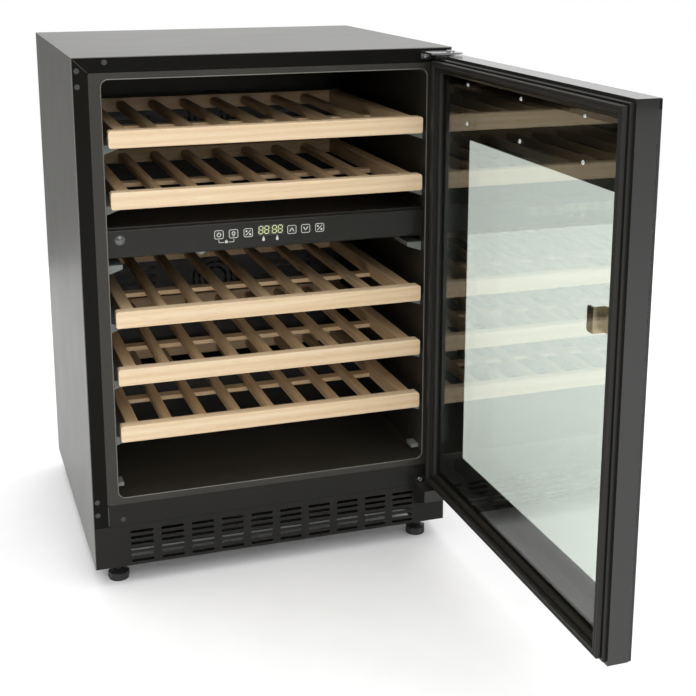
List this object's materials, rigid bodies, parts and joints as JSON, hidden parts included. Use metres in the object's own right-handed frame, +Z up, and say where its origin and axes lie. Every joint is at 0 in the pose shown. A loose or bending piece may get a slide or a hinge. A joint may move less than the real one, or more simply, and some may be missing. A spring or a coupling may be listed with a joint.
{
  "type": "wine cooler",
  "caption": "Built-under two-zone wine cooler with slide-out wooden shelves, control fascia, ventilated plinth and a glazed door standing open.",
  "frame": {"origin": "On the floor, below the middle of the cabinet's front plane.", "axes": "+X to the right of someone facing the open front, +Y from the front plane into the cabinet, +Z up."},
  "size_m": [0.618, 1.1415, 0.84],
  "materials": {
    "casing_steel": "satin grey-black paint",
    "black_trim": "satin black paint",
    "galvanised": "galvanised",
    "foam": "foamed in place",
    "liner_plastic": "moulded, fine texture",
    "grey_plastic": "moulded",
    "divider_plastic": "moulded",
    "fascia_gloss": "gloss",
    "circuit": "lacquered board",
    "button_plastic": "semi-gloss",
    "lamp_lens": "clear lens",
    "sensor_shell": "moulded",
    "evaporator_metal": "rolled",
    "motor_shell": "moulded",
    "fan_plastic": "moulded",
    "compressor_shell": "gloss black enamel",
    "mount_rubber": "moulded",
    "condenser_metal": "black enamel",
    "tray_plastic": "moulded",
    "inlet_plastic": "moulded",
    "bright_steel": "zinc plated",
    "bracket_paint": "satin black",
    "washer_nylon": "turned nylon",
    "foot_plastic": "moulded, with a steel stud",
    "door_steel": "satin black paint",
    "door_glass": "clear, faint green",
    "spacer_black": "printed border and spacer",
    "door_plastic": "moulded, satin",
    "gasket_rubber": "magnetic bellows seal",
    "handle_steel": "brushed",
    "beech": "planed, sealed"
  },
  "bodies": {
    "cabinet": {"outer_wrap": "casing_steel", "front_frame": "black_trim", "bottom_rail": "black_trim", "plinth_grille": "black_trim", "rear_panel": "casing_steel", "base_pan": "galvanised", "deck_panel": "galvanised", "insulation": "foam", "liner": "liner_plastic", "shelf_runners": "grey_plastic", "zone_divider": "divider_plastic", "control_fascia": "fascia_gloss", "control_board": "circuit", "button_bezel": "fascia_gloss", "interior_lamps": "lamp_lens", "temperature_sensors": "sensor_shell", "upper_duct_cover": "liner_plastic", "lower_duct_cover": "liner_plastic", "evaporator_plates": "evaporator_metal", "fan_motors": "motor_shell", "compressor": "compressor_shell", "compressor_mounts": "mount_rubber", "condenser_coil": "condenser_metal", "condenser_fan_frame": "motor_shell", "drip_tray": "tray_plastic", "power_inlet": "inlet_plastic", "top_hinge_plate": "bright_steel", "bottom_hinge_bracket": "bracket_paint", "hinge_pins": "bright_steel", "hinge_washer": "washer_nylon", "hinge_screws": "bright_steel", "frame_screws": "bracket_paint"},
    "door": {"door_frame": "door_steel", "door_outer_glass": "door_glass", "door_inner_glass": "door_glass", "glass_spacer": "spacer_black", "door_inner_frame": "door_plastic", "door_gasket": "gasket_rubber", "door_bushes": "washer_nylon", "glass_screws": "bracket_paint", "pull_handle": "handle_steel"},
    "shelf_1": {"shelf_1_strip": "beech", "shelf_1_frame": "beech"},
    "shelf_2": {"shelf_2_strip": "beech", "shelf_2_frame": "beech"},
    "shelf_3": {"shelf_3_strip": "beech", "shelf_3_frame": "beech"},
    "shelf_4": {"shelf_4_strip": "beech", "shelf_4_frame": "beech"},
    "shelf_5": {"shelf_5_strip": "beech", "shelf_5_frame": "beech"},
    "door_switch": {"door_switch_button": "button_plastic"},
    "upper_fan": {"upper_fan_rotor": "fan_plastic"},
    "lower_fan": {"lower_fan_rotor": "fan_plastic"},
    "condenser_fan": {"condenser_fan_rotor": "fan_plastic"},
    "foot_fl": {"foot_front_left": "foot_plastic"},
    "foot_fr": {"foot_front_right": "foot_plastic"},
    "foot_rl": {"foot_rear_left": "foot_plastic"},
    "foot_rr": {"foot_rear_right": "foot_plastic"}
  },
  "joints": [
    {"name": "door_hinge", "type": "hinge", "parent": "cabinet", "child": "door", "pos_m": [0.2825, -0.031, 0.47], "axis": [0, 0, 1], "range_deg": [-90, 25]},
    {"name": "shelf_1_slide", "type": "slide", "parent": "cabinet", "child": "shelf_1", "axis": [0, -1, 0], "range_m": [0, 0.28]},
    {"name": "shelf_2_slide", "type": "slide", "parent": "cabinet", "child": "shelf_2", "axis": [0, -1, 0], "range_m": [0, 0.28]},
    {"name": "shelf_3_slide", "type": "slide", "parent": "cabinet", "child": "shelf_3", "axis": [0, -1, 0], "range_m": [0, 0.28]},
    {"name": "shelf_4_slide", "type": "slide", "parent": "cabinet", "child": "shelf_4", "axis": [0, -1, 0], "range_m": [0, 0.28]},
    {"name": "shelf_5_slide", "type": "slide", "parent": "cabinet", "child": "shelf_5", "axis": [0, -1, 0], "range_m": [0, 0.28]},
    {"name": "door_switch_press", "type": "slide", "parent": "cabinet", "child": "door_switch", "axis": [0, 1, 0], "range_m": [0, 0.003], "stiffness_N_per_m": 400, "springref_m": -0.002},
    {"name": "upper_fan_spin", "type": "hinge", "parent": "cabinet", "child": "upper_fan", "pos_m": [0, 0.43, 0.69225], "axis": [0, 1, 0], "continuous": true},
    {"name": "lower_fan_spin", "type": "hinge", "parent": "cabinet", "child": "lower_fan", "pos_m": [0, 0.43, 0.382], "axis": [0, 1, 0], "continuous": true},
    {"name": "condenser_fan_spin", "type": "hinge", "parent": "cabinet", "child": "condenser_fan", "pos_m": [0.08195, 0.444, 0.105], "axis": [1, 0, 0], "continuous": true},
    {"name": "foot_fl_turn", "type": "hinge", "parent": "cabinet", "child": "foot_fl", "pos_m": [-0.2575, 0.03, 0.02], "axis": [0, 0, 1], "continuous": true},
    {"name": "foot_fr_turn", "type": "hinge", "parent": "cabinet", "child": "foot_fr", "pos_m": [0.2575, 0.03, 0.02], "axis": [0, 0, 1], "continuous": true},
    {"name": "foot_rl_turn", "type": "hinge", "parent": "cabinet", "child": "foot_rl", "pos_m": [-0.2575, 0.488, 0.02], "axis": [0, 0, 1], "continuous": true},
    {"name": "foot_rr_turn", "type": "hinge", "parent": "cabinet", "child": "foot_rr", "pos_m": [0.2575, 0.488, 0.02], "axis": [0, 0, 1], "continuous": true}
  ]
}
